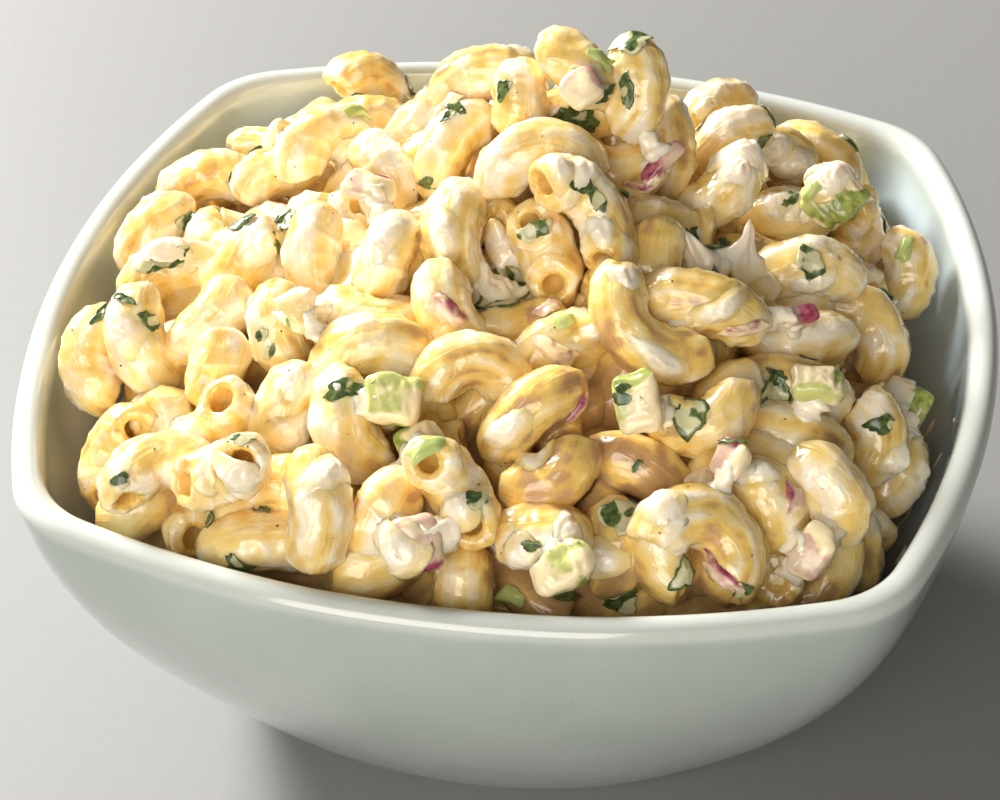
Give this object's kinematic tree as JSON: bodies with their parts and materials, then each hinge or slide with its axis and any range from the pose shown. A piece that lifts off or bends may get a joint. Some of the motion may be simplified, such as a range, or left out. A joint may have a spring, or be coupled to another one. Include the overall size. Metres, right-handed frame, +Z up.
{
  "type": "macaroni salad in a bowl",
  "caption": "Square stoneware bowl with bowed sides and round corners, heaped with dressed elbow macaroni, cut celery and red onion.",
  "frame": {"origin": "middle of the bowl's foot ring, on the surface that it stands on", "axes": "+Z up out of the bowl's mouth; X and Y square to the bowl's sides, with the shown side towards -Y and +X to its right"},
  "size_m": [0.1546, 0.1546, 0.1108],
  "materials": {
    "bowl": "glossy pale grey-green glaze",
    "salad": "moist cooked pasta under a cream-white dressing",
    "celery": "moist cut celery",
    "onion": "moist cut red onion"
  },
  "bodies": {
    "root": {"bowl": "bowl", "salad": "salad", "celery_1": "celery", "celery_2": "celery", "celery_3": "celery", "celery_4": "celery", "celery_5": "celery", "celery_6": "celery", "celery_7": "celery", "celery_8": "celery", "onion_1": "onion", "onion_2": "onion", "onion_3": "onion", "onion_4": "onion", "onion_5": "onion", "onion_6": "onion", "onion_7": "onion"}
  },
  "joints": []
}
